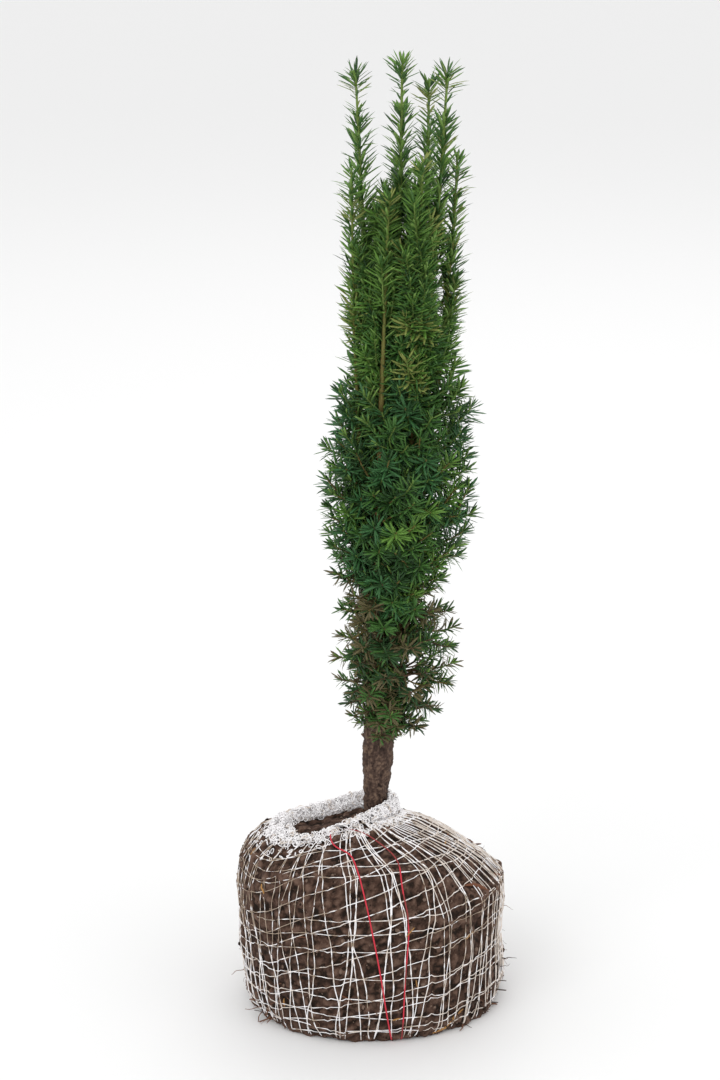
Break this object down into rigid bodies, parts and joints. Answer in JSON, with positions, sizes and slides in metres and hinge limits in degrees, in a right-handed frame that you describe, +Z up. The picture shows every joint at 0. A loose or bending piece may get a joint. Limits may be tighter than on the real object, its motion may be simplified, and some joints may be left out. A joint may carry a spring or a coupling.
{
  "type": "yew sapling with root ball",
  "caption": "Columnar multi-leader yew sapling with dense needles, standing on a soil root ball wrapped in white knitted net with a gathered collar.",
  "frame": {"origin": "middle of the flat underside of the root ball", "axes": "+Z up along the plant, -Y towards the front of the plant, +X to the right seen from the front"},
  "size_m": [0.2515, 0.2368, 0.893],
  "materials": {
    "soil": "damp, crumbly soil with fine roots",
    "net": "white knitted net yarn, soiled in places",
    "bark": "rough brown bark dusted with soil",
    "shoot": "smooth ochre to red-brown young bark",
    "foliage": "soft leathery dark green needles, paler underneath"
  },
  "bodies": {
    "root": {"trunk": "bark", "root_ball": "soil", "net_collar": "net", "leader_middle": "shoot", "leader_left": "shoot", "leader_right": "shoot", "leader_front": "shoot", "leader_back": "shoot", "leader_far_left": "shoot", "leader_far_right": "shoot", "leader_right_back": "shoot", "leader_middle_front": "shoot", "leader_back_right": "shoot", "foliage_low_front": "foliage", "foliage_low_left": "foliage", "foliage_low_right": "foliage", "foliage_low_back": "foliage", "foliage_mid_front": "foliage", "foliage_mid_left": "foliage", "foliage_mid_right": "foliage", "foliage_mid_back": "foliage", "foliage_high_front": "foliage", "foliage_high_left": "foliage", "foliage_high_right": "foliage", "foliage_high_back": "foliage", "tuft_middle": "foliage", "tuft_left": "foliage", "tuft_right": "foliage", "tuft_front": "foliage", "tuft_back": "foliage", "tuft_far_left": "foliage", "tuft_far_right": "foliage", "tuft_right_back": "foliage", "tuft_middle_front": "foliage", "tuft_back_right": "foliage"}
  },
  "joints": []
}
